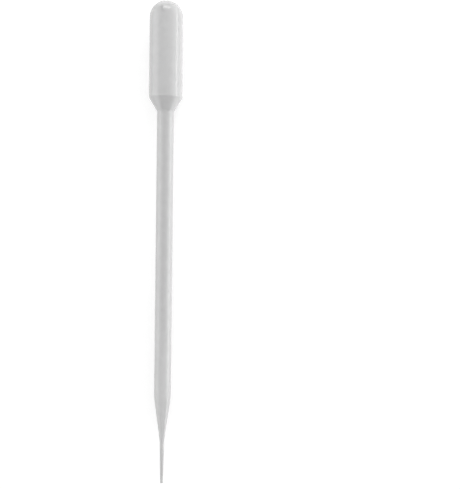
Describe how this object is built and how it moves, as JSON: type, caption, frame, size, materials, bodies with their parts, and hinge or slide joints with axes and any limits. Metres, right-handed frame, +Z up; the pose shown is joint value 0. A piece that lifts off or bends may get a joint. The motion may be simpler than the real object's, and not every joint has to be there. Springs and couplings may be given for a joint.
{
  "type": "dropper pipette",
  "caption": "One-piece soft plastic dropper pipette: hollow squeeze bulb with a round end, long plain stem and a drawn-out fine tip with an open mouth.",
  "frame": {"origin": "on the surface that the pipette lies on, under the middle of its length", "axes": "+Y along the pipette towards the bulb (its own axis rises 1.6 degrees that way), +Z up from the surface, +X across it"},
  "size_m": [0.0106, 0.155, 0.0114],
  "materials": {
    "natural_polyethylene": "translucent milky white with a soft gloss"
  },
  "bodies": {
    "root": {"dropper_pipette": "natural_polyethylene"}
  },
  "joints": []
}
